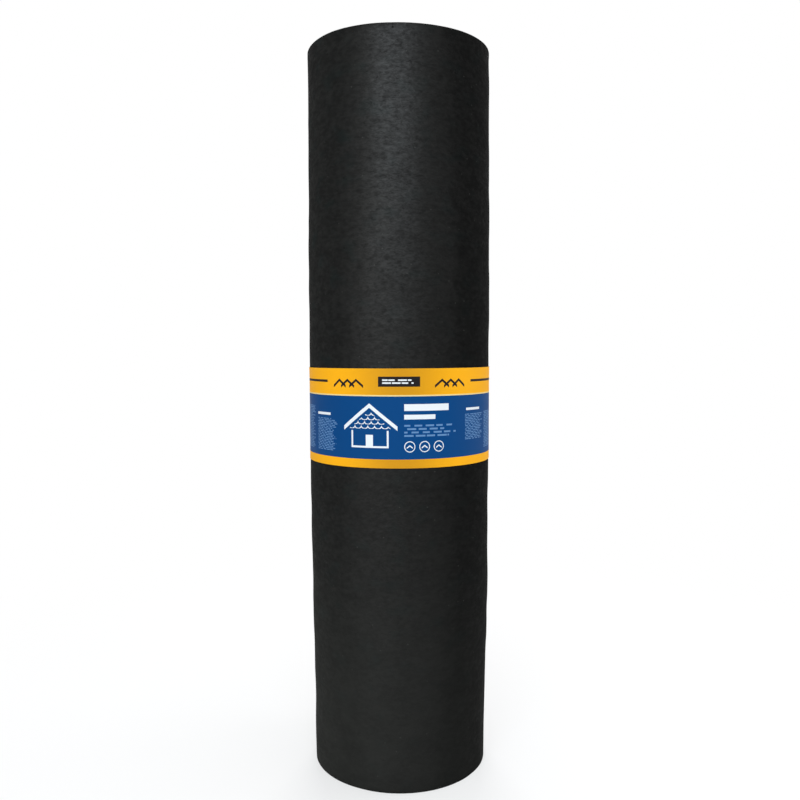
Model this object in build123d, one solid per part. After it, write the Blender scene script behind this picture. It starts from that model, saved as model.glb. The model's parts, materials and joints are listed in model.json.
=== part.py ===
"""Roll of roofing felt standing on its end, held by a printed paper band.

The felt is one long sheet wound round a bare bore, with no core inside it. The
outermost turn ends in a free edge that stands one sheet proud along the whole
roll. The ends show the edges of the turns as rings. A paper band is wrapped
round the middle of the roll and glued to itself where it bridges that free edge.

Frame: millimetres, +Z up along the roll's axis, origin on that axis at the foot.
The front of the roll faces -Y.
"""

from build123d import *

import math
import os

# Driving dimensions of the felt
FELT_WIDTH = 914.4  # the sheet is 36 in wide, and the roll stands that high
SHEET_LENGTH = 21946.0  # 72 ft of sheet
SHEET_THICKNESS = 1.73  # one turn as wound, with the air between turns
BORE_DIAMETER = 76.0
TOP_DRAW_IN = 0.8  # how much less the radius is at the top end than at mid-height
FOOT_DRAW_IN = 2.8  # how much less it is at the foot
LAP_BEARING = 100.0  # degrees from +X to the free edge of the sheet, so it lies behind

# Driving dimensions of the rings that the turns show on the ends
RING_TURNS = 3  # turns from one ring groove to the next
GROOVE_WIDTH = 0.9
GROOVE_DEPTH = 1.2
START_RAMP = 24.0  # degrees over which the second turn climbs the sheet's inner edge

# Driving dimensions of the paper band
BAND_HEIGHT = 118.0
BAND_MIDDLE = 457.2  # height of the band's middle above the foot
PAPER_THICKNESS = 0.25
BAND_CLEARANCE = 0.2  # between the felt and the paper, and between the paper's two layers
BAND_OVERLAP = 32.0  # how far the paper's end runs over its start

# What follows from them
BORE_RADIUS = BORE_DIAMETER / 2
ROLL_RADIUS = math.sqrt(BORE_RADIUS**2 + SHEET_LENGTH * SHEET_THICKNESS / math.pi)
TURN_COUNT = (ROLL_RADIUS - BORE_RADIUS) / SHEET_THICKNESS
HALF_TURN = 180.0
FULL_TURN = 360.0


def polar(radius, degrees):
    """Return the point at that radius and bearing about the roll's axis."""
    angle = math.radians(degrees)
    return (radius * math.cos(angle), radius * math.sin(angle))


def half_wind(growth):
    """Return half a turn of the solid wind, on the +Y side, widened by growth.

    Its outline is two shallow parabolas that leave mid-height upright, because the
    turns are drawn in a little at both ends and the wind is widest between them.
    """
    foot = (ROLL_RADIUS - FOOT_DRAW_IN + growth, 0)
    middle = (ROLL_RADIUS + growth, FELT_WIDTH / 2)
    top = (ROLL_RADIUS - TOP_DRAW_IN + growth, FELT_WIDTH)
    outline = Polyline(top, (0, FELT_WIDTH), (0, 0), foot)
    outline += Bezier(foot, (ROLL_RADIUS + growth, FELT_WIDTH / 4), middle)
    outline += Bezier(middle, (ROLL_RADIUS + growth, FELT_WIDTH * 3 / 4), top)
    section = Plane.XZ * make_face(outline.edges())
    return revolve(section, Axis.Z, HALF_TURN)


def spiral_wind():
    """Return the wind with its free edge on +X, as a spiral of two half turns.

    The first half turn is centred on the axis. The second is half a sheet wider
    and its centre is moved half a sheet towards the free edge, so it meets the
    first one smoothly and ends one sheet proud of it.
    """
    step = SHEET_THICKNESS / 2
    low_half = half_wind(0)
    high_half = Pos(step, 0, 0) * Rot(0, 0, HALF_TURN) * half_wind(step)
    return low_half + high_half


def bore():
    """Return what the mandrel left empty, with the notch at the sheet's inner edge.

    The first turn lies round on the mandrel, and the second climbs over its edge
    along a ramp, which leaves a notch one sheet deep.
    """
    start = -FULL_TURN * (TURN_COUNT % 1)
    notch = Polyline(
        polar(BORE_RADIUS - SHEET_THICKNESS, start),
        polar(BORE_RADIUS + SHEET_THICKNESS, start),
        polar(BORE_RADIUS, start - START_RAMP),
        close=True,
    )
    hole = Circle(BORE_RADIUS) + make_face(notch.edges())
    return extrude(hole, FELT_WIDTH)


def ring_grooves():
    """Return the V grooves between turns, on both ends, as turned rings."""
    pitch = RING_TURNS * SHEET_THICKNESS
    narrow_end = ROLL_RADIUS - max(TOP_DRAW_IN, FOOT_DRAW_IN)
    count = math.ceil((narrow_end - BORE_RADIUS) / pitch) - 1
    grooves = []
    for i in range(count):
        radius = BORE_RADIUS + pitch * (i + 1)
        for face, inward in ((0, 1), (FELT_WIDTH, -1)):
            vee = Polyline(
                (radius - GROOVE_WIDTH / 2, face),
                (radius + GROOVE_WIDTH / 2, face),
                (radius, face + inward * GROOVE_DEPTH),
                close=True,
            )
            grooves.append(revolve(Plane.XZ * make_face(vee.edges()), Axis.Z))
    return grooves


def felt_roll():
    """Return the whole roll of felt as one solid."""
    return Rot(0, 0, LAP_BEARING) * (spiral_wind() - bore() - ring_grooves())


def paper_band():
    """Return the paper strip round the middle of the roll, with its glued lap.

    The strip starts just past the felt's free edge, follows the spiral of the
    last turn round to that edge, bridges the step in a straight line and then
    lies on its own start.
    """
    shift = SHEET_THICKNESS / 2
    centre = (0, 0)
    moved_centre = (shift, 0)
    inside = ROLL_RADIUS + BAND_CLEARANCE
    crest = inside + SHEET_THICKNESS
    lap_inside = inside + PAPER_THICKNESS + BAND_CLEARANCE
    landing = math.degrees(math.acos(lap_inside / crest))
    lap_angle = math.degrees(BAND_OVERLAP / lap_inside)
    lap_end = landing + lap_angle

    def side(offset):
        """Return one face of the strip, from its start to its lapped end."""
        return (
            CenterArc(centre, inside + offset, landing, HALF_TURN - landing)
            + CenterArc(moved_centre, inside + shift + offset, HALF_TURN, HALF_TURN)
            + Line((crest + offset, 0), polar(lap_inside + offset, landing))
            + CenterArc(centre, lap_inside + offset, landing, lap_angle)
        )

    outer = PAPER_THICKNESS
    start_edge = Line(polar(inside, landing), polar(inside + outer, landing))
    end_edge = Line(polar(lap_inside, lap_end), polar(lap_inside + outer, lap_end))
    strip = make_face((side(0) + side(outer) + start_edge + end_edge).edges())
    band = extrude(strip, BAND_HEIGHT)
    return Pos(0, 0, BAND_MIDDLE - BAND_HEIGHT / 2) * Rot(0, 0, LAP_BEARING) * band


def main():
    """Build each piece and write it to its own file."""
    os.makedirs("parts", exist_ok=True)
    for name, piece in (("felt_roll", felt_roll()), ("paper_band", paper_band())):
        export_step(piece, f"parts/{name}.step")
        print(name, f"{piece.volume:.0f} mm3", piece.bounding_box().size)


main()
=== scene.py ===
"""The looks of a roll of roofing felt that stands on its end, with a printed paper band.

The felt is built as what it is, one sheet wound on itself. The turns from the bore
outwards are one piece, and the last turn with its free edge is another, because it
carries the finest relief. The band is a paper strip round that turn, glued to itself
behind, and its print is worked out in its material. Metres, +Z up, front towards -Y.
"""

import json
import logging
import math
from dataclasses import dataclass
from enum import Enum

import bmesh
import bpy
import numpy as np
from mathutils import Matrix, Vector


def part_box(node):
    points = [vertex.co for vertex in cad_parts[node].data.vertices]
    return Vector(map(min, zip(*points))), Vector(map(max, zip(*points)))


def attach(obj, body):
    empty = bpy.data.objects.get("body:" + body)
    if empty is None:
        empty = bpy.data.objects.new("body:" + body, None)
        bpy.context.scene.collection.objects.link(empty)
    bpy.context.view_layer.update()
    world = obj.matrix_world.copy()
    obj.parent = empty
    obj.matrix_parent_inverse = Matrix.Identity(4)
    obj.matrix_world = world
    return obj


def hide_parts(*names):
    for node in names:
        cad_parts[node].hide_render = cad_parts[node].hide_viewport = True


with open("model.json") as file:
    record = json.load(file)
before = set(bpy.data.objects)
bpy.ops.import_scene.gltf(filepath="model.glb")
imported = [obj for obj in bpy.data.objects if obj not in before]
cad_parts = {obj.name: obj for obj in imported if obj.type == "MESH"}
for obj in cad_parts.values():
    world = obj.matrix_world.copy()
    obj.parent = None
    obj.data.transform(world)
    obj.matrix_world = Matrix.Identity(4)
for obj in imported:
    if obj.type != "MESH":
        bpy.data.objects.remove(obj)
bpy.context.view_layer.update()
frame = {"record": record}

Array = np.ndarray
Colour = tuple[float, float, float]
WHITE = (1.0, 1.0, 1.0, 1.0)

BODY = "root"
FULL_TURN = 2 * math.pi
FRONT = math.radians(270)  # bearing of -Y
SHARP_ANGLE = math.radians(50)
NICK_BEARING = FRONT - math.radians(3)
NICK_DROP = 0.0066  # below the top edge
SHEET_MAP = "sheet"  # UV map in metres: along a sheet, and up it
EDGE_MARK = "raw_edge"  # 1 on cut edges and backs, 0 on faces
log = logging.getLogger("felt_roll")


class End(Enum):
    """An end of the roll."""

    FOOT = 0
    TOP = 1


class Slot(Enum):
    """The record's material slots."""

    FELT = "felt"
    PAPER = "printed_paper"


# Shader maths


class Value:
    """A number that changes over a surface. Arithmetic on it adds Math nodes."""

    def __init__(self, graph: "Graph", socket: bpy.types.NodeSocket) -> None:
        """Keep the graph and the socket that gives the number."""
        self.graph = graph
        self.socket = socket

    def math(self, operation: str, *others: "Value | float") -> "Value":
        """Return a Math node's result on this number and the others."""
        return self.graph.math(operation, self, *others)

    def __add__(self, other: "Value | float") -> "Value":
        """Return the sum."""
        return self.math("ADD", other)

    def __radd__(self, other: float) -> "Value":
        """Return the sum."""
        return self.math("ADD", other)

    def __sub__(self, other: "Value | float") -> "Value":
        """Return the difference."""
        return self.math("SUBTRACT", other)

    def __rsub__(self, other: float) -> "Value":
        """Return the difference."""
        return self.graph.math("SUBTRACT", other, self)

    def __mul__(self, other: "Value | float") -> "Value":
        """Return the product."""
        return self.math("MULTIPLY", other)

    def __truediv__(self, other: "Value | float") -> "Value":
        """Return the quotient."""
        return self.math("DIVIDE", other)

    def __mod__(self, period: float) -> "Value":
        """Return what is left over a whole number of periods, from 0 up."""
        return self.math("FLOORED_MODULO", period)

    def __abs__(self) -> "Value":
        """Return the size without the sign."""
        return self.math("ABSOLUTE")

    def __lt__(self, other: "Value | float") -> "Value":
        """Return 1 where this is less, otherwise 0."""
        return self.math("LESS_THAN", other)

    def __gt__(self, other: "Value | float") -> "Value":
        """Return 1 where this is more, otherwise 0."""
        return self.math("GREATER_THAN", other)

    def __or__(self, other: "Value") -> "Value":
        """Return the larger of two masks."""
        return self.math("MAXIMUM", other)

    def floor(self) -> "Value":
        """Return the whole number below."""
        return self.math("FLOOR")

    def root(self) -> "Value":
        """Return the square root."""
        return self.math("SQRT")

    def ramp(self, low: float, high: float) -> "Value":
        """Return 0 at low, 1 at high and a smooth climb between, either way round."""
        settings = {"interpolation_type": "SMOOTHSTEP"}
        rising = self.graph.node(
            "ShaderNodeMapRange",
            settings,
            {"Value": self, "From Min": min(low, high), "From Max": max(low, high)},
        )
        return rising if low < high else 1 - rising


class Graph:
    """The nodes of one material or world."""

    def __init__(self, owner: "bpy.types.Material | bpy.types.World") -> None:
        """Start from an empty node tree."""
        owner.use_nodes = True
        self.tree = owner.node_tree
        self.tree.nodes.clear()

    def node(
        self,
        kind: str,
        settings: "dict[str, object] | None" = None,
        sockets: "dict[str | int, object] | None" = None,
        output: "str | int" = 0,
    ) -> Value:
        """Add a node.

        Args:
            kind: The node's type.
            settings: Its own properties, which are set first.
            sockets: What goes into its inputs, by name or number: values or links.
            output: The output that is wanted.

        Returns:
            That output.
        """
        node = self.tree.nodes.new(kind)
        for name, setting in (settings or {}).items():
            setattr(node, name, setting)
        for name, given in (sockets or {}).items():
            if isinstance(given, Value):
                self.tree.links.new(given.socket, node.inputs[name])
            else:
                node.inputs[name].default_value = given
        return Value(self, node.outputs[output] if node.outputs else None)

    def math(self, operation: str, *inputs: "Value | float") -> Value:
        """Return a Math node's result."""
        return self.node("ShaderNodeMath", {"operation": operation}, dict(enumerate(inputs)))

    def mix(self, factor: Value, low: "Value | Colour", high: "Value | Colour") -> Value:
        """Return the colour low where the factor is 0, and high where it is 1."""
        first, second = (c if isinstance(c, Value) else (*c, 1.0) for c in (low, high))
        settings = {"data_type": "RGBA"}
        return self.node("ShaderNodeMix", settings, {0: factor, 6: first, 7: second}, 2)

    def sheet_place(self) -> tuple[Value, Value]:
        """Return how far along the sheet and how far up it a point is, in metres."""
        place = self.node("ShaderNodeUVMap", {"uv_map": SHEET_MAP})
        split = {"Vector": place}
        along = self.node("ShaderNodeSeparateXYZ", None, split, "X")
        up = self.node("ShaderNodeSeparateXYZ", None, split, "Y")
        return along, up

    def sideways(self) -> Value:
        """Return how far towards +X a point is, in metres."""
        place = self.node("ShaderNodeTexCoord", None, None, "Object")
        return self.node("ShaderNodeSeparateXYZ", None, {"Vector": place}, "X")

    def raw_edge(self) -> Value:
        """Return 1 on cut edges and backs, otherwise 0."""
        return self.node("ShaderNodeAttribute", {"attribute_name": EDGE_MARK}, None, "Fac")

    def point(self, along: "Value | float", up: "Value | float", layer: float) -> Value:
        """Return a vector for a texture, with its own layer for each use."""
        return self.node("ShaderNodeCombineXYZ", None, {"X": along, "Y": up, "Z": layer})

    def bump(self, height: Value, strength: float, distance: float) -> Value:
        """Return the normal that a height gives, with the distance that a height of 1 stands for."""
        sockets = {"Strength": strength, "Distance": distance, "Height": height}
        return self.node("ShaderNodeBump", {"invert": False}, sockets)

    def surface(self, shader: Value) -> None:
        """Make a shader the surface."""
        self.node("ShaderNodeOutputMaterial", None, {"Surface": shader})


@dataclass(frozen=True)
class Grain:
    """A soft noise on a sheet."""

    along: float  # forms to a metre along the sheet
    up: float  # and up it
    layer: float  # keeps it apart from other noises
    detail: float
    roughness: float = 0.5
    curl: float = 0.0

    def on(self, graph: Graph, along: Value, up: Value) -> Value:
        """Return the noise about 0 at a place on the sheet."""
        sockets = {
            "Vector": graph.point(along * self.along, up * self.up, self.layer),
            "Scale": 1.0,
            "Detail": self.detail,
            "Roughness": self.roughness,
            "Distortion": self.curl,
        }
        return graph.node("ShaderNodeTexNoise", {"noise_dimensions": "3D"}, sockets) - 0.5


@dataclass(frozen=True)
class Spots:
    """Soft dots on a sheet, at most one in each cell."""

    along: float  # cells to a metre along the sheet
    up: float  # and up it
    layer: float  # keeps them apart from other noises
    share: float  # of the cells that hold a dot
    size: float  # a dot's radius, in cells

    def on(self, graph: Graph, along: Value, up: Value) -> Value:
        """Return 1 in a dot's middle and 0 outside the dots, at a place on the sheet."""
        settings = {"voronoi_dimensions": "3D", "feature": "F1"}
        sockets = {"Vector": graph.point(along * self.along, up * self.up, self.layer), "Scale": 1.0}
        away = graph.node("ShaderNodeTexVoronoi", settings, sockets, "Distance")
        pick = graph.node("ShaderNodeTexVoronoi", settings, sockets, "Color")
        red = graph.node("ShaderNodeSeparateColor", None, {"Color": pick}, "Red")
        return away.ramp(self.size, 0.0) * (red < self.share)


@dataclass(frozen=True)
class Effect:
    """What a noise or a mark adds to the felt where it is 1."""

    height: float = 0.0
    # how much darker or paler the felt's colour is: partly random, partly painted shade in low places
    tone: float = 0.0
    rough: float = 0.0
    film: float = 0.0


def total(start: float, parts: "list[tuple[Value, float]]") -> Value:
    """Return a number plus each value times its weight, without those that weigh nothing."""
    return sum((value * weight for value, weight in parts if weight), start)


# Finishes


@dataclass(frozen=True)
class FeltFinish:
    """Felt soaked with asphalt: near black, matt, and crinkled along the sheet.

    The place of the nick is along the sheet and up it. The felt's colour is painted
    paler towards -X, as painted light from that side, and its film of asphalt is richer there.
    """

    nick: tuple[float, float]
    # the colour where the felt lies low: partly random tone, partly painted shade
    hollow_shade: Colour = (0.0058, 0.0058, 0.0055)
    face: Colour = (0.0087, 0.0087, 0.0082)
    moss: Colour = (0.0058, 0.0084, 0.0080)
    # painted light of the floor's bounce, paler than the felt
    floor_bounce_paint: Colour = (0.0172, 0.0176, 0.0160)
    speck: Colour = (0.050, 0.050, 0.046)
    cut: Colour = (0.058, 0.053, 0.046)
    roughness: float = 0.45
    low_angle_roughness: float = 0.50
    specular: float = 0.06
    film: float = 0.205
    film_roughness: float = 0.42
    film_worn: float = 0.55  # share of the film that is gone low down
    film_low: float = 0.2  # height below which that much is gone
    film_high: float = 1.0  # height from which none is
    film_angle: float = 0.26  # how far from facing the eye the film shows
    # painted light: the colour grows paler towards -X by this share for each metre
    side_light_gain: float = 5.2  # share by which it is paler for each metre towards -X
    # height below which the painted bounce light grows towards the foot
    floor_bounce_height: float = 0.42
    relief: float = 0.0009
    nick_size: float = 0.0016
    warp: float = 0.007  # how far the grain is pulled about

    def material(self) -> bpy.types.Material:
        """Return the material.

        Long crinkles, blotches, dapples, soft clouds, fine fibres and pits add up to one
        height, which makes the bump, and to a darkness that is partly random and partly
        painted shade, darkest where the felt lies low. They also change the roughness and
        make the film patchy. The fibres hide the gloss at a low angle, and the film shows
        only where the felt faces the eye.
        """
        made = bpy.data.materials.new("asphalt_felt")
        graph = Graph(made)
        along, up = graph.sheet_place()
        edge = graph.raw_edge()
        nick = self.nick_mask(along, up)
        warp = Grain(60, 75, layer=1.0, detail=2).on(graph, along, up) * self.warp
        crinkle = Grain(120, 270, layer=3.0, detail=3, roughness=0.6).on(graph, along + warp, up + warp)
        blotch = Grain(135, 190, layer=5.0, detail=2).on(graph, along - warp, up + warp)
        dapple = Grain(52, 74, layer=19.0, detail=2).on(graph, along + warp, up - warp)
        cloud = Grain(22, 28, layer=7.0, detail=3, roughness=0.55).on(graph, along, up)
        fibre = Grain(130, 280, layer=9.0, detail=2, curl=1.8).on(graph, along, up)
        strand = fibre.ramp(-0.14, 0.16) - 0.5
        pit = Spots(150, 190, layer=11.0, share=0.16, size=0.36).on(graph, along, up)
        speck = Spots(210, 260, layer=13.0, share=0.028, size=0.26).on(graph, along, up)
        effects = [
            (crinkle, Effect(height=0.3, tone=1.2, film=0.6)),
            (blotch, Effect(height=0.7, tone=1.7, rough=-0.4, film=1.3)),
            (dapple, Effect(height=0.8, tone=1.2, rough=-0.3, film=0.4)),
            (cloud, Effect(height=0.6, tone=1.0)),
            (fibre, Effect(height=0.28)),
            (strand, Effect(film=0.82)),
            (pit, Effect(height=-0.25, tone=-0.5, rough=0.2)),
            (speck, Effect(height=0.14)),
            (nick, Effect(height=-0.8, tone=-1.2, rough=0.3)),
            (edge, Effect(rough=0.3)),
        ]
        height = total(0.0, [(value, effect.height) for value, effect in effects])
        # painted shade: this darkness follows the height, so low places get the darker colour
        tone = total(0.5, [(value, effect.tone) for value, effect in effects])
        rough = total(self.roughness, [(value, effect.rough) for value, effect in effects])
        patchy = total(1.0, [(value, effect.film) for value, effect in effects])
        # painted light: the felt's colour is scaled paler towards -X and darker towards +X; the film is
        # scaled alike
        side_light_paint = 1 - graph.sideways() * self.side_light_gain
        colour = graph.mix(tone.ramp(0.0, 1.0), self.hollow_shade, self.face)
        colour = self.weathered(graph, colour, cloud)
        colour = graph.node("ShaderNodeVectorMath", {"operation": "SCALE"}, {0: colour, "Scale": side_light_paint})
        colour = graph.mix(speck * 0.7, colour, self.speck)
        turn = Grain(2.2, 0.0, layer=17.0, detail=3, roughness=0.7).on(graph, along, up)
        frayed = edge * (turn.ramp(-0.25, 0.3) * 0.75 + fibre * 0.5 + 0.25)
        colour = graph.mix(frayed, colour, self.cut)
        facing = graph.node("ShaderNodeLayerWeight", None, {"Blend": 0.5}, "Facing")
        rough = rough + facing.ramp(0.04, 0.34) * self.low_angle_roughness
        kept = 1 - up.ramp(self.film_high, self.film_low) * self.film_worn
        film = patchy * facing.ramp(self.film_angle, 0.0) * (1 - edge) * (1 - nick) * kept * side_light_paint * self.film
        shader = graph.node(
            "ShaderNodeBsdfPrincipled",
            None,
            {
                "Base Color": colour,
                "Roughness": rough,
                "Specular IOR Level": self.specular,
                "Coat Weight": film,
                "Coat Roughness": self.film_roughness,
                "Normal": graph.bump(height, 1.0, self.relief),
            },
        )
        graph.surface(shader)
        return made

    def weathered(self, graph: Graph, colour: Value, cloud: Value) -> Value:
        """Return a colour with mossy patches, and with painted light of the floor's bounce that grows paler
        towards the foot.

        Args:
            graph: The material's nodes.
            colour: The clean felt's colour.
            cloud: The noise that mottles the painted bounce light.

        Returns:
            The colour after both.
        """
        along, up = graph.sheet_place()
        mossy = Grain(33, 41, layer=15.0, detail=2).on(graph, along, up)
        colour = graph.mix(mossy.ramp(0.02, 0.25) * 0.6, colour, self.moss)
        # painted light: the felt grows paler towards the foot, mottled by the cloud noise
        floor_bounce_share = up.ramp(self.floor_bounce_height, 0.0) * (0.65 + cloud * 0.6)
        return graph.mix(floor_bounce_share, colour, self.floor_bounce_paint)

    def nick_mask(self, along: Value, up: Value) -> Value:
        """Return 1 in the small nick below the top edge and in the crack up from it."""
        across = abs(along - self.nick[0])
        above = up - self.nick[1]
        hole = (across * across + above * above).root().ramp(self.nick_size, self.nick_size / 3)
        crack = across.ramp(self.nick_size / 2, 0.0) * (above > 0)
        return hole | (crack * 0.6)


@dataclass(frozen=True)
class Artwork:
    """Flat shapes to print: each is 1 inside and 0 outside, at a place on the sheet."""

    graph: Graph
    along: Value
    up: Value
    scale_radius: float = 0.56  # of a shingle's width
    dash_height: float = 0.52  # of the pitch from row to row
    dash_room: float = 3.4  # pitches from dash to dash
    dash_shift: float = 0.37  # of that, from row to row
    shortest_dash: float = 0.6  # of that
    dash_spread: float = 0.34
    ragged: float = 0.28  # share of a row that may be left out at its end

    def bar(self, left: float, right: float, low: float, high: float) -> Value:
        """Return a rectangle."""
        across = abs(self.along - (left + right) / 2) < (right - left) / 2
        return across * (abs(self.up - (low + high) / 2) < (high - low) / 2)

    def disc(self, middle: float, height: float, radius: float) -> Value:
        """Return a round spot."""
        across = self.along - middle
        above = self.up - height
        return (across * across + above * above).root() < radius

    def gable(self, middle: float, eaves: float, half: float, slope: float, stroke: float) -> Value:
        """Return the line of a roof: so far below its ridge as it is from the middle, times the slope.

        Args:
            middle: The ridge's place along the sheet.
            eaves: The height of the two ends.
            half: Half the roof's width.
            slope: Its rise for its run.
            stroke: The line's thickness, measured upright.

        Returns:
            The mask.
        """
        away = abs(self.along - middle)
        below = self.up - (eaves + half * slope) + away * slope
        return (abs(below) < stroke / 2) * (away < half)

    def under_gable(self, middle: float, eaves: float, half: float, slope: float) -> Value:
        """Return what lies under such a roof's line, down to its eaves."""
        away = abs(self.along - middle)
        return (self.up - (eaves + half * slope) + away * slope < 0) * (self.up > eaves)

    def scales(self, width: float, course: float, stroke: float) -> Value:
        """Return the lower arcs of round shingles, every other course moved by half of one."""
        row = (self.up / course).floor()
        across = (self.along + (row % 2) * (width / 2)) % width - width / 2
        radius = width * self.scale_radius
        above = self.up % course - radius
        return abs((across * across + above * above).root() - radius) < stroke / 2

    def dashes(self, left: float, right: float, low: float, rows: int, pitch: float, seed: float) -> Value:
        """Return rows of dashes of random length that end raggedly and say nothing.

        Args:
            left: Where the rows start.
            right: Where the longest may end.
            low: The height of the lowest row.
            rows: How many rows there are.
            pitch: From row to row.
            seed: Picks the lengths.

        Returns:
            The mask.
        """
        row = ((self.up - low) / pitch).floor()
        thick = ((self.up - low) % pitch) < pitch * self.dash_height
        room = pitch * self.dash_room
        shifted = self.along - left + row * (room * self.dash_shift)
        draw = {"Vector": self.graph.point((shifted / room).floor(), row, seed)}
        length = self.graph.node("ShaderNodeTexWhiteNoise", {"noise_dimensions": "3D"}, draw)
        inked = (shifted % room) < (self.shortest_dash + length * self.dash_spread) * room
        last = {"Vector": self.graph.point(seed, row, 0.5)}
        short = self.graph.node("ShaderNodeTexWhiteNoise", {"noise_dimensions": "3D"}, last)
        inside = (self.along > left) * (self.along < right - short * (right - left) * self.ragged)
        block = (self.up > low) * (self.up < low + rows * pitch)
        return thick * inked * inside * block


@dataclass(frozen=True)
class PrintedPaper:
    """A printed wrapper: plain stripes, a roof, bars and rows of dashes that say nothing.

    Heights are measured up from the foot of the band, and places along it from the
    middle of its front. The design is printed twice round the roll.
    """

    repeat: float = 0.354
    yellow: Colour = (0.87, 0.395, 0.0085)
    # the yellow darkened by painted shade, used towards each repeat's middle
    gold_shade: Colour = (0.56, 0.255, 0.010)
    cream: Colour = (0.80, 0.62, 0.25)
    blue: Colour = (0.0018, 0.049, 0.176)
    pale: Colour = (0.11, 0.23, 0.43)
    white: Colour = (0.72, 0.75, 0.78)
    black: Colour = (0.014, 0.012, 0.013)
    back: Colour = (0.62, 0.60, 0.55)
    roughness: float = 0.55
    specular: float = 0.05
    relief: float = 0.00012
    foot_stripe: float = 0.0105
    blue_stripe: float = 0.0747
    line: float = 0.0015
    # painted shade: within this reach of each repeat's middle the yellow darkens to gold
    middle_shade_reach: float = 0.085  # how far from the front's middle the yellow turns to gold
    roof_slope: float = 0.80
    small_pitch: float = 0.0020  # from row to row of the smallest print

    def material(self) -> bpy.types.Material:
        """Return the material, which lays each ink over the one before."""
        made = bpy.data.materials.new("printed_paper")
        graph = Graph(made)
        strip, up = graph.sheet_place()
        along = (strip + self.repeat / 2) % self.repeat - self.repeat / 2
        art = Artwork(graph, along, up)
        blue_top = self.foot_stripe + self.blue_stripe
        in_blue = (up > self.foot_stripe) * (up < blue_top)
        in_line = (up > blue_top) * (up < blue_top + self.line)
        # painted shade: the yellow darkens towards the middle of each repeat
        middle_shade = abs(along).ramp(self.middle_shade_reach, 0.0)
        colour = graph.mix(middle_shade, self.yellow, self.gold_shade)
        colour = graph.mix(in_blue, colour, self.blue)
        colour = graph.mix(in_line, colour, self.cream)
        colour = graph.mix(self.pale_ink(art), colour, self.pale)
        colour = graph.mix(self.black_ink(art), colour, self.black)
        colour = graph.mix(self.white_ink(art), colour, self.white)
        fibre = Grain(900, 900, layer=2.0, detail=3, roughness=0.6).on(graph, strip, up)
        cloud = Grain(40, 60, layer=4.0, detail=3).on(graph, strip, up)
        edge = graph.raw_edge()
        colour = graph.mix(edge, colour, self.back)
        rough = total(self.roughness, [(fibre, 0.2), (cloud, 0.15), (edge, 0.4)])
        shader = graph.node(
            "ShaderNodeBsdfPrincipled",
            None,
            {
                "Base Color": colour,
                "Roughness": rough,
                "Specular IOR Level": self.specular,
                "Normal": graph.bump(fibre * 0.4 + cloud, 0.6, self.relief),
            },
        )
        graph.surface(shader)
        return made

    def pale_ink(self, art: Artwork) -> Value:
        """Return the pale blue print: small rows of dashes on the blue stripe."""
        inked = art.dashes(left=0.006, right=0.074, low=0.0375, rows=4, pitch=0.0040, seed=1.0)
        for left, right, low, rows, seed in (
            (-0.168, -0.128, 0.018, 27, 2.0),
            (-0.121, -0.081, 0.018, 20, 3.0),
            (0.132, 0.170, 0.018, 23, 4.0),
            (0.088, 0.127, 0.031, 16, 5.0),
        ):
            inked = inked | art.dashes(left, right, low, rows, self.small_pitch, seed)
        return inked

    def black_ink(self, art: Artwork) -> Value:
        """Return the black print on the top stripe: a tag, with three roofs and a rail each side of it."""
        inked = art.bar(left=-0.025, right=0.025, low=0.0965, high=0.1085)
        inked = inked | art.bar(left=-0.170, right=-0.098, low=0.1010, high=0.1040)
        inked = inked | art.bar(left=0.098, right=0.170, low=0.1010, high=0.1040)
        slope = self.roof_slope
        for middle in (-0.053, -0.065, -0.077, 0.053, 0.065, 0.077):
            inked = inked | art.gable(middle, eaves=0.0965, half=0.0095, slope=slope, stroke=0.0034)
        return inked

    def white_ink(self, art: Artwork) -> Value:
        """Return the white print: a shingled roof, headings, three signs and the tag's dashes."""
        slope = self.roof_slope
        under = art.under_gable(-0.036, eaves=0.0465, half=0.0265, slope=slope)
        inked = art.scales(width=0.0084, course=0.0052, stroke=0.0011) * under
        inked = inked | art.gable(-0.036, eaves=0.047, half=0.034, slope=slope, stroke=0.0052)
        for left, right, low, high in (
            (-0.0595, -0.0125, 0.0240, 0.0262),  # sill
            (-0.0595, -0.0573, 0.0240, 0.0445),  # posts
            (-0.0147, -0.0125, 0.0240, 0.0445),
            (-0.0405, -0.0315, 0.0240, 0.0395),  # door
            (0.006, 0.062, 0.0680, 0.0760),  # headings
            (0.006, 0.044, 0.0580, 0.0635),
            (-0.121, -0.093, 0.0610, 0.0640),
            (0.090, 0.118, 0.0665, 0.0695),
        ):
            inked = inked | art.bar(left, right, low, high)
        for middle in (0.0125, 0.0305, 0.0485):
            inked = inked | self.sign(art, middle, height=0.0255)
        return inked | art.dashes(left=-0.020, right=0.020, low=0.1000, rows=2, pitch=0.0034, seed=6.0)

    def sign(self, art: Artwork, middle: float, height: float) -> Value:
        """Return a round sign with a small roof in it."""
        ring = art.disc(middle, height, radius=0.0066) - art.disc(middle, height, radius=0.0056)
        return ring | art.gable(middle, eaves=height - 0.0015, half=0.0036, slope=0.75, stroke=0.0016)


@dataclass(frozen=True)
class FloorFinish:
    """A plain pale studio floor."""

    colour: Colour = (0.86, 0.86, 0.86)
    lift: float = 0.55  # share of plain white near the roll, where the shadow shows
    near: float = 0.25
    far: float = 1.1

    def material(self) -> bpy.types.Material:
        """Return the material, which fades to plain white away from the roll where it is seen."""
        made = bpy.data.materials.new("studio_floor")
        graph = Graph(made)
        paint = graph.node("ShaderNodeBsdfDiffuse", None, {"Color": (*self.colour, 1.0)})
        glow = graph.node("ShaderNodeEmission", None, {"Color": WHITE, "Strength": 1.0})
        along, up = graph.sheet_place()
        away = (along * along + up * up).root().ramp(self.near, self.far)
        share = seen_directly(graph) * (self.lift + away * (1 - self.lift))
        graph.surface(graph.node("ShaderNodeMixShader", None, {0: share, 1: paint, 2: glow}))
        return made


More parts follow.
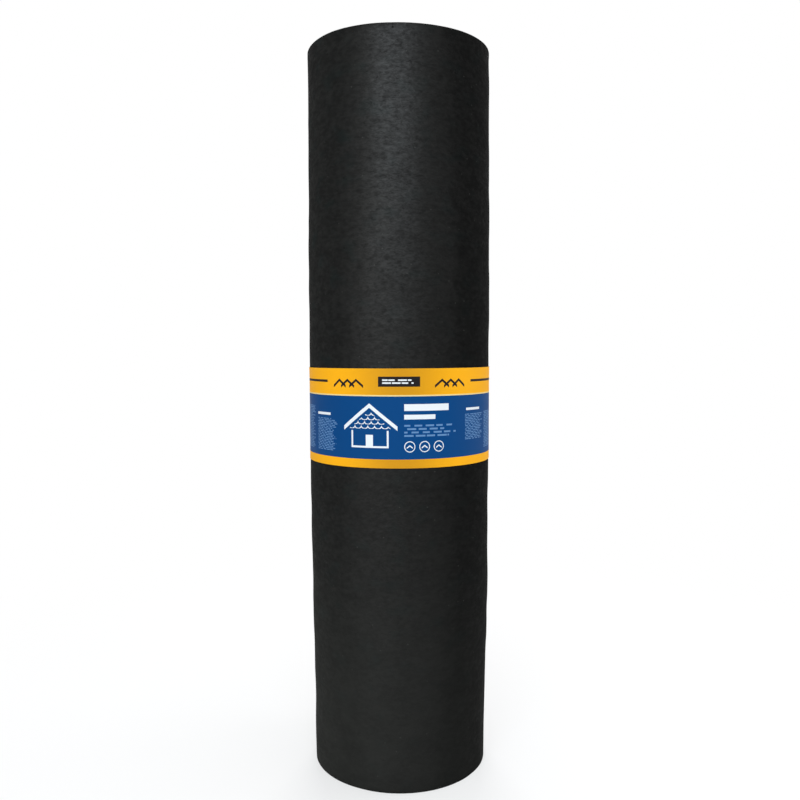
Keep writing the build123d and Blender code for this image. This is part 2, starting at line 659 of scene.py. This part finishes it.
def seen_directly(graph: Graph) -> Value:
    """Return 1 for what the camera sees, also in a mirror or through glass."""
    seen = [
        graph.node("ShaderNodeLightPath", None, None, output)
        for output in ("Is Camera Ray", "Is Glossy Ray", "Is Transmission Ray")
    ]
    return seen[0] | seen[1] | seen[2]


# Shapes


@dataclass(frozen=True)
class Waves:
    """A smooth random field: the sum of plane waves of seeded length, heading and phase."""

    seed: int
    along: float  # usual wavelength along the sheet
    up: float  # usual wavelength up it
    height: float  # standard deviation of the sum
    count: int = 36

    def at(self, along: Array, up: "Array | float") -> Array:
        """Return the field at those places.

        Args:
            along: How far along each place is.
            up: How far up.

        Returns:
            The sum of the waves, which is height in its usual size.
        """
        rng = np.random.default_rng(self.seed)
        stretch = rng.uniform(0.6, 1.8, self.count)
        heading = rng.uniform(0, FULL_TURN, self.count)
        phase = rng.uniform(0, FULL_TURN, self.count)
        rate_along = FULL_TURN * np.cos(heading) / (self.along * stretch)
        rate_up = FULL_TURN * np.sin(heading) / (self.up * stretch)
        place = np.broadcast_arrays(along, up)
        angle = np.multiply.outer(place[0], rate_along) + np.multiply.outer(place[1], rate_up)
        return self.height * math.sqrt(2 / self.count) * np.cos(angle + phase).sum(-1)


class Draft:
    """Gathers the points and faces of one piece, grid by grid."""

    def __init__(self, name: str) -> None:
        """Start with nothing."""
        self.name = name
        self.places: list[Array] = []
        self.maps: list[Array] = []
        self.marks: list[Array] = []
        self.faces: list[list[int]] = []
        self.count = 0

    def points(self, x: Array, y: Array, z: Array, along: Array, up: Array, mark: Array) -> Array:
        """Add a grid of points.

        Args:
            x: Where each point is, with y and z.
            y: As x.
            z: As x.
            along: How far along the sheet each point is.
            up: How far up the sheet.
            mark: 1 on a cut edge or back, otherwise 0.

        Returns:
            The points' numbers, in the shape of the grid.
        """
        x, y, z, along, up, mark = np.broadcast_arrays(x, y, z, along, up, mark)
        self.places.append(np.stack([x, y, z], -1).reshape(-1, 3))
        self.maps.append(np.stack([along, up], -1).reshape(-1, 2))
        self.marks.append(mark.reshape(-1))
        numbers = self.count + np.arange(x.size).reshape(x.shape)
        self.count += x.size
        return numbers

    def weave(self, numbers: Array) -> None:
        """Add a four-sided face for each cell of a grid of point numbers."""
        corners = (numbers[:-1, :-1], numbers[1:, :-1], numbers[1:, 1:], numbers[:-1, 1:])
        self.faces += np.stack(corners, -1).reshape(-1, 4).tolist()

    def patch(self, numbers: Array) -> None:
        """Add one flat face round those points."""
        self.faces.append(numbers.tolist())

    def piece(self, material: bpy.types.Material) -> bpy.types.Object:
        """Return the finished object, smooth but for its corners, with faces outwards."""
        mesh = bpy.data.meshes.new(self.name)
        mesh.from_pydata(np.concatenate(self.places).tolist(), [], self.faces)
        shell = bmesh.new()
        shell.from_mesh(mesh)
        bmesh.ops.recalc_face_normals(shell, faces=shell.faces)
        shell.to_mesh(mesh)
        shell.free()
        corner = np.empty(len(mesh.loops), np.int32)
        mesh.loops.foreach_get("vertex_index", corner)
        layer = mesh.uv_layers.new(name=SHEET_MAP)
        layer.uv.foreach_set("vector", np.concatenate(self.maps)[corner].astype(np.float32).ravel())
        mark = mesh.attributes.new(EDGE_MARK, "FLOAT", "POINT")
        mark.data.foreach_set("value", np.concatenate(self.marks).astype(np.float32))
        mesh.shade_smooth()
        mesh.set_sharp_from_angle(angle=SHARP_ANGLE)
        mesh.materials.append(material)
        made = bpy.data.objects.new(self.name, mesh)
        bpy.context.scene.collection.objects.link(made)
        return made


@dataclass(frozen=True)
class Hold:
    """Where the band holds the felt down, from foot to top."""

    low: float
    high: float

    def free(self, z: Array) -> Array:
        """Return 0 under the band, growing to 1 about half the band's height away from it."""
        half = (self.high - self.low) / 2
        away = np.abs(z - (self.low + self.high) / 2) / half - 1
        share = np.clip(away, 0, 1)
        return share * share * (3 - 2 * share)


@dataclass
class WoundSheet:
    """The felt, wound on itself from the bore out to its free edge.

    A place along the sheet is counted in turns from its start in the bore.
    """

    height: float
    bore_radius: float
    hold: Hold
    pitch: float = 0.00173
    length: float = 21.946
    thickness: float = 0.00134
    corner: float = 0.00030
    top_draw_in: float = 0.0008
    foot_draw_in: float = 0.0050
    lap_bearing: float = math.radians(100)
    top_stagger: float = 0.0016
    foot_stagger: float = 0.0006
    groove_depth: float = 0.009
    tuck: float = 0.06  # turns of the last piece that lie under its own free edge
    butt_gap: float = 0.0002
    lift: float = 0.0011
    lift_reach: float = 0.05  # turns over which the free edge springs up
    turn_steps: int = 112
    face_steps: int = 300
    face_rows: int = 210
    slack: Waves = Waves(3, 1.7, 1.0, 0.85)
    drift: Waves = Waves(5, 3.1, 1.0, 0.8)
    ripple: Waves = Waves(7, 0.31, 1.0, 0.45)
    fray: Waves = Waves(11, 0.012, 1.0, 0.00005)
    sway: Waves = Waves(13, 0.30, 0.26, 0.00045)
    dents: Waves = Waves(17, 0.095, 0.075, 0.00026)
    crumple: Waves = Waves(19, 0.036, 0.022, 0.00006)
    deepest: float = 0.0010  # what the waves of the face come to at most
    spring: Waves = Waves(23, 1.0, 0.16, 0.35)
    spring_middle: float = 0.6  # share of the lift that the free edge has on average
    spring_least: float = 0.05
    held: float = 0.12  # share of the relief that is left under the band
    air_samples: int = 6000
    end_shift: float = 100.0  # keeps the waves of the two ends apart
    back_rows: int = 7
    corner_cut: float = 0.3  # share of the corner where its round is cut

    @property
    def radius(self) -> float:
        """Return the roll's radius: the area of the sheet's edge laid round the bore."""
        return math.sqrt(self.bore_radius**2 + self.length * self.pitch / math.pi)

    @property
    def turns(self) -> float:
        """Return how many times the sheet goes round."""
        return (self.radius - self.bore_radius) / self.pitch

    def bearing(self, path: Array) -> Array:
        """Return the bearing of a place along the sheet; its end is at the lap."""
        return self.lap_bearing + FULL_TURN * (path - self.turns)

    def along(self, path: Array) -> Array:
        """Return the metres from the sheet's start: a turn's length grows evenly outwards."""
        return FULL_TURN * (self.bore_radius * path + self.pitch * path**2 / 2)

    def layer(self, path: Array) -> Array:
        """Return the layer, 0 where the last turn starts and 1 at the free edge.

        Each turn is round for its first half, and over its second half it climbs one
        layer by half a cosine wave.
        """
        since = np.asarray(path) - self.turns + 1
        whole = np.floor(since)
        part = since - whole
        return whole + np.where(part > 0.5, (1 + np.cos(FULL_TURN * part)) / 2, 0.0)

    def layer_radius(self, layer: Array) -> Array:
        """Return the radius of a layer's outer face at mid-height.

        From layer to layer it grows by the sheet's thickness and by some air. The air
        varies from turn to turn and adds up to what the roll has to spare.
        """
        first = float(self.layer(np.zeros(1))[0])
        samples = np.linspace(first, 0.0, self.air_samples)
        air = np.exp(self.slack.at(samples, 0.0))
        grown = np.concatenate([[0.0], np.cumsum(air[1:] + air[:-1])])
        spare = self.radius - self.bore_radius - self.thickness * (1 - first)
        radii = self.bore_radius + self.thickness * (1 + samples - first) + spare * grown / grown[-1]
        return np.where(layer > 0, self.radius + self.pitch * layer, np.interp(layer, samples, radii))

    def draw_in(self, z: Array) -> Array:
        """Return how much narrower the roll is at a height, as the square of the way to an end."""
        way = 2 * z / self.height - 1
        return np.where(way > 0, self.top_draw_in, self.foot_draw_in) * way**2

    def face_radius(self, path: Array, z: Array) -> Array:
        """Return the radius of the sheet's outer face. All turns are drawn in alike at the ends."""
        wound = self.layer_radius(self.layer(path)) - self.bore_radius
        return self.bore_radius + wound * (1 - self.draw_in(z) / (self.radius - self.bore_radius))

    def edge(self, end: End, path: Array) -> Array:
        """Return the height of the sheet's cut edge at one end of the roll.

        The turns wander in and out by up to the stagger, and the cut is a little frayed.
        """
        shift = self.end_shift * end.value
        wander = self.drift.at(path + shift, 0.0) + self.ripple.at(path + shift, 0.0)
        share = 0.5 + 0.5 * np.tanh(wander)
        fray = self.fray.at(self.along(path) + shift, 0.0)
        if end is End.TOP:
            return self.height - self.top_stagger * share - np.abs(fray)
        return self.foot_stagger * share + np.abs(fray)

    def relief(self, path: Array, z: Array) -> Array:
        """Return how far the last turn's face stands out: sway, dents and crumples, less under the band."""
        along = self.along(path)
        waves = self.sway.at(along, z) + self.dents.at(along, z) + self.crumple.at(along, z)
        loose = self.held + (1 - self.held) * self.hold.free(z)
        return self.deepest * np.tanh(waves / self.deepest) * loose

    def spring_up(self, path: Array, z: Array) -> Array:
        """Return how far the free edge springs off the roll, most at the very end."""
        near = np.clip(1 - (self.turns - path) / self.lift_reach, 0, 1)
        swell = np.clip(self.spring_middle + self.spring.at(z, 0.0), self.spring_least, None)
        return self.lift * swell * near**2 * self.hold.free(z)

    def mark_place(self, bearing: float, drop: float) -> tuple[float, float]:
        """Return the place on the sheet at a bearing on the last turn, so far below the top."""
        back = ((self.lap_bearing - bearing) / FULL_TURN) % 1
        return float(self.along(self.turns - back)), self.height - drop

    def inner_turns(self, material: bpy.types.Material) -> bpy.types.Object:
        """Return the turns under the last one, as a closed shell.

        At each end, the cut edge of the sheet is a profile of six points carried along
        the whole spiral, and a floor joins each turn to the next, deep in the groove
        between them. A wall closes the bore, another lies under the last turn.
        """
        draft = Draft("inner_turns")
        stop = self.turns - 1 - self.tuck
        path = np.arange(0, stop, 1 / self.turn_steps)[:, None]
        side = self.thickness - self.corner
        depth = np.array([self.thickness, self.thickness, side, self.corner, 0.0, 0.0])
        below = np.array([self.groove_depth, self.corner, 0.0, 0.0, self.corner, self.groove_depth])
        mark = np.array([0.0, 0.5, 1.0, 1.0, 0.5, 0.0])
        bearing = self.bearing(path)
        rims = {}
        for end in End:
            inward = below if end is End.FOOT else -below
            z = self.edge(end, path) + inward
            reach = self.face_radius(path, z) - depth
            x, y = reach * np.cos(bearing), reach * np.sin(bearing)
            rims[end] = draft.points(x, y, z, self.along(path), z + depth, mark)
        foot, top = rims[End.FOOT], rims[End.TOP]
        steps = self.turn_steps
        for rim in (foot, top):
            draft.weave(rim)
            draft.weave(np.stack([rim[:-steps, 5], rim[steps:, 0]], 1))
        draft.weave(np.stack([foot[: steps + 1, 0], top[: steps + 1, 0]], 1))
        draft.weave(np.stack([foot[-steps - 1 :, 5], top[-steps - 1 :, 5]], 1))
        for cut, inner, outer in ((0, steps, 0), (-1, -1, -steps - 1)):
            draft.patch(np.concatenate([foot[cut], top[cut, ::-1]]))
            draft.patch(np.array([foot[inner, 0], top[inner, 0], top[outer, 5], foot[outer, 5]]))
        return draft.piece(material)

    def last_turn(self, material: bpy.types.Material) -> bpy.types.Object:
        """Return the last turn of the sheet, from under its free edge round to that edge.

        The sheet's section is a closed loop: up the face, over the top edge, down the
        back and under the foot. It is carried along the spiral, and the face stands out
        by the relief. At the free edge the section shrinks by the corner and is closed.
        """
        draft = Draft("last_turn")
        start = self.turns - 1 - self.tuck + self.butt_gap / (FULL_TURN * self.radius)
        path = np.linspace(start, self.turns, self.face_steps)
        rounded = self.corner / (FULL_TURN * self.radius)
        path = np.concatenate([path[:-1], [self.turns - rounded, self.turns]])[:, None]
        inset = np.where(path < self.turns, 0.0, self.corner)
        rise = np.linspace(0, 1, self.face_rows)
        back = np.linspace(1, 0, self.back_rows)
        half, full, wide = self.corner * self.corner_cut, self.corner, self.thickness
        over = np.array([half, full, wide - full, wide - half])
        drop = np.array([half, 0.0, 0.0, half])
        depth = np.concatenate([0 * rise, over, 0 * back + wide, over[::-1]])
        share = np.concatenate([rise, 0 * over + 1, back, 0 * over])
        nudge = np.concatenate([full * (1 - 2 * rise), -drop, full * (1 - 2 * back), drop])
        mark = np.concatenate([0 * rise, 0 * over + 1, 0 * back, 0 * over + 1])
        low, high = self.edge(End.FOOT, path), self.edge(End.TOP, path)
        z = np.clip(low + share * (high - low) + nudge, low + inset, high - inset)
        deep = np.clip(depth, inset, wide - inset)
        stand = self.relief(path, z) * (1 - deep / wide) + self.spring_up(path, z)
        reach = self.face_radius(path, z) + stand - deep
        bearing = self.bearing(path)
        raw = np.maximum(mark, inset > 0)
        x, y = reach * np.cos(bearing), reach * np.sin(bearing)
        numbers = draft.points(x, y, z, self.along(path), z + deep, raw)
        draft.weave(np.concatenate([numbers, numbers[:, :1]], 1))
        draft.patch(numbers[0])
        draft.patch(numbers[-1])
        return draft.piece(material)


@dataclass
class PaperBand:
    """The paper strip round the last turn, glued to itself where it bridges the free edge.

    A place along the strip is an angle from the felt's free edge.
    """

    sheet: WoundSheet
    low: float
    high: float
    thickness: float = 0.00025
    clearance: float = 0.0002
    overlap: float = 0.032
    steps: int = 420
    rows: int = 17
    cockle: Waves = Waves(31, 0.075, 0.2, 0.00011)
    cockle_share: float = 0.6
    flare: float = 0.00035
    flare_power: int = 6  # how near the long edges the flare keeps
    flare_rate: float = 9000.0  # how sharply it follows the cockle
    end_lift: float = 0.0011
    end_middle: float = 0.4  # share of the end's lift at mid-height
    end_reach: float = 0.12  # radians over which the glued end springs up

    @property
    def inside(self) -> float:
        """Return the radius of the strip's inner face on the round half of the last turn."""
        return self.sheet.radius + self.clearance

    @property
    def lap_inside(self) -> float:
        """Return the radius of its inner face where it lies on its own start."""
        return self.inside + self.thickness + self.clearance

    @property
    def landing(self) -> float:
        """Return how far past the free edge the strip meets its start."""
        return math.acos(self.lap_inside / (self.inside + self.sheet.pitch))

    def reach(self, angle: Array) -> Array:
        """Return the radius of the inner face along the strip.

        It is round for half a turn, climbs with the felt for the other half, runs
        straight from the free edge down to a tangent and then round on its own start.
        """
        climb = self.inside + self.sheet.pitch * (1 + np.cos(angle)) / 2
        past = np.minimum(angle - FULL_TURN - self.landing, 0.0)
        bridge = self.lap_inside / np.cos(past)
        round_half = np.where(angle < math.pi, self.inside, climb)
        return np.where(angle < FULL_TURN, round_half, bridge)

    def strip(self, material: bpy.types.Material) -> bpy.types.Object:
        """Return the strip: its thin section, a closed loop, carried along its path.

        The long edges flare a little, the face cockles, and the glued end springs up.
        """
        draft = Draft("printed_band")
        end = FULL_TURN + self.landing + self.overlap / self.lap_inside
        angle = np.linspace(self.landing, end, self.steps)[:, None]
        rise = np.linspace(0, 1, self.rows)
        back = np.linspace(1, 0, self.rows)
        share = np.concatenate([rise, rise[-1:], back, rise[:1]])
        out = np.concatenate([0 * rise + 1, [1.0], 0 * back, [1.0]])
        mark = np.concatenate([0 * rise, [1.0], 0 * back + 1, [1.0]])
        z = self.low + share * (self.high - self.low)
        along = (angle - (FRONT - self.sheet.lap_bearing)) * (self.inside + self.thickness)
        to_edge = np.abs(2 * share - 1)
        cockle = self.cockle.at(along, z)
        flare = self.flare * to_edge**self.flare_power
        lift = np.abs(cockle) * self.cockle_share + flare * (0.5 + 0.5 * np.tanh(cockle * self.flare_rate))
        near = np.clip(1 - (end - angle) / self.end_reach, 0, 1)
        lift = lift + self.end_lift * near**2 * (self.end_middle + (1 - self.end_middle) * to_edge)
        reach = self.reach(angle) + out * self.thickness + lift
        bearing = self.sheet.lap_bearing + angle
        x, y = reach * np.cos(bearing), reach * np.sin(bearing)
        numbers = draft.points(x, y, z, along, z - self.low, mark)
        draft.weave(np.concatenate([numbers, numbers[:, :1]], 1))
        draft.patch(numbers[0])
        draft.patch(numbers[-1])
        return draft.piece(material)


# Studio


@dataclass(frozen=True)
class Softbox:
    """A rectangular lamp that faces the roll."""

    name: str
    place: tuple[float, float, float]
    aim: tuple[float, float, float]
    width: float
    tall: float
    watts: float
    colour: Colour = (1.0, 1.0, 1.0)

    def build(self) -> None:
        """Add the lamp."""
        lamp = bpy.data.lights.new(self.name, "AREA")
        lamp.shape = "RECTANGLE"
        lamp.size = self.width
        lamp.size_y = self.tall
        lamp.energy = self.watts
        lamp.color = self.colour
        made = bpy.data.objects.new(self.name, lamp)
        made.visible_camera = False
        look = Vector(self.aim) - Vector(self.place)
        turned = look.to_track_quat("-Z", "Y").to_matrix().to_4x4()
        made.matrix_world = Matrix.Translation(self.place) @ turned
        bpy.context.scene.collection.objects.link(made)


@dataclass(frozen=True)
class Studio:
    """Floor, light and camera."""

    ambient: float = 0.42
    floor_size: float = 30.0
    floor_drop: float = 0.0003
    camera_place: tuple[float, float, float] = (0.0, -1.0928, 0.5365)
    camera_pitch: float = math.radians(3.359)
    camera_roll: float = math.radians(-0.17)
    camera_shift: float = 0.00112
    focal_pixels: float = 832.3
    image_pixels: float = 800.0
    sensor: float = 36.0

    def floor(self, finish: FloorFinish) -> bpy.types.Object:
        """Return a flat floor just under the roll's foot."""
        half = self.floor_size / 2
        across = np.array([-half, half])
        draft = Draft("studio_floor")
        x, y = np.meshgrid(across, across, indexing="ij")
        draft.weave(draft.points(x, y, -self.floor_drop, x, y, 0.0))
        return draft.piece(finish.material())

    def world(self) -> None:
        """Make the surroundings: white where they are seen, dimmer as light."""
        made = bpy.data.worlds.new("studio_world")
        graph = Graph(made)
        shown = seen_directly(graph)
        strength = self.ambient + shown * (1 - self.ambient)
        light = graph.node("ShaderNodeBackground", None, {"Color": WHITE, "Strength": strength})
        graph.node("ShaderNodeOutputWorld", None, {"Surface": light})
        bpy.context.scene.world = made

    def lamps(self) -> None:
        """Add the lamps: a cool key and a fill in front on the left, others above, beside and behind."""
        cool = (0.85, 0.94, 1.0)
        for lamp in (
            Softbox("key", (-0.20, -2.0, 1.52), (0, 0, 0.6), width=1.9, tall=0.72, watts=29.0, colour=cool),
            Softbox("fill", (-1.1, -2.0, 0.7), (0, 0, 0.4), width=2.0, tall=1.0, watts=8.0),
            Softbox("overhead", (0.3, 0.0, 3.1), (0, 0, 0), width=2.6, tall=2.6, watts=30.0),
            Softbox("side", (2.1, 0.3, 0.8), (0, 0, 0.5), width=1.0, tall=1.2, watts=11.0),
            Softbox("back", (0.0, 2.0, 2.1), (0, 0, 0.5), width=1.2, tall=0.9, watts=32.0),
        ):
            lamp.build()

    def camera(self) -> None:
        """Set the camera where the picture was taken from."""
        lens = bpy.data.cameras.new("camera")
        lens.sensor_width = self.sensor
        lens.lens = self.sensor * self.focal_pixels / self.image_pixels
        lens.shift_x = self.camera_shift
        made = bpy.data.objects.new("camera", lens)
        tilt = Matrix.Rotation(math.pi / 2 - self.camera_pitch, 4, "X")
        roll = Matrix.Rotation(self.camera_roll, 4, "Z")
        made.matrix_world = Matrix.Translation(self.camera_place) @ tilt @ roll
        bpy.context.scene.collection.objects.link(made)
        bpy.context.scene.camera = made


def dress(piece: bpy.types.Object, node: str) -> None:
    """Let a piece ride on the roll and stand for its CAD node."""
    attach(piece, BODY)
    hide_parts(node)
    corners = len(piece.data.loops)
    triangles = corners - 2 * len(piece.data.polygons)
    log.info("%s: %d triangles, stands for %s", piece.name, triangles, node)


def main() -> None:
    """Build the felt, the band and the studio."""
    logging.basicConfig(level=logging.INFO, format="%(name)s: %(message)s")
    bpy.context.scene.view_settings.view_transform = "Standard"
    felt_low, felt_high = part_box("felt_roll")
    band_low, band_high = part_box("paper_band")
    bore = next(m for m in frame["record"]["mounts"] if m["kind"] == "bore")
    hold = Hold(band_low.z, band_high.z)
    sheet = WoundSheet(felt_high.z - felt_low.z, bore["dims"]["r_mm"] / 1000, hold)
    nick = sheet.mark_place(NICK_BEARING, NICK_DROP)
    felt = FeltFinish(nick).material()
    dress(sheet.inner_turns(felt), "felt_roll")
    dress(sheet.last_turn(felt), "felt_roll")
    band = PaperBand(sheet, band_low.z, band_high.z)
    paper = PrintedPaper().material()
    dress(band.strip(paper), "paper_band")
    studio = Studio()
    studio.floor(FloorFinish())
    studio.world()
    studio.lamps()
    studio.camera()


if __name__ == "__main__":
    main()
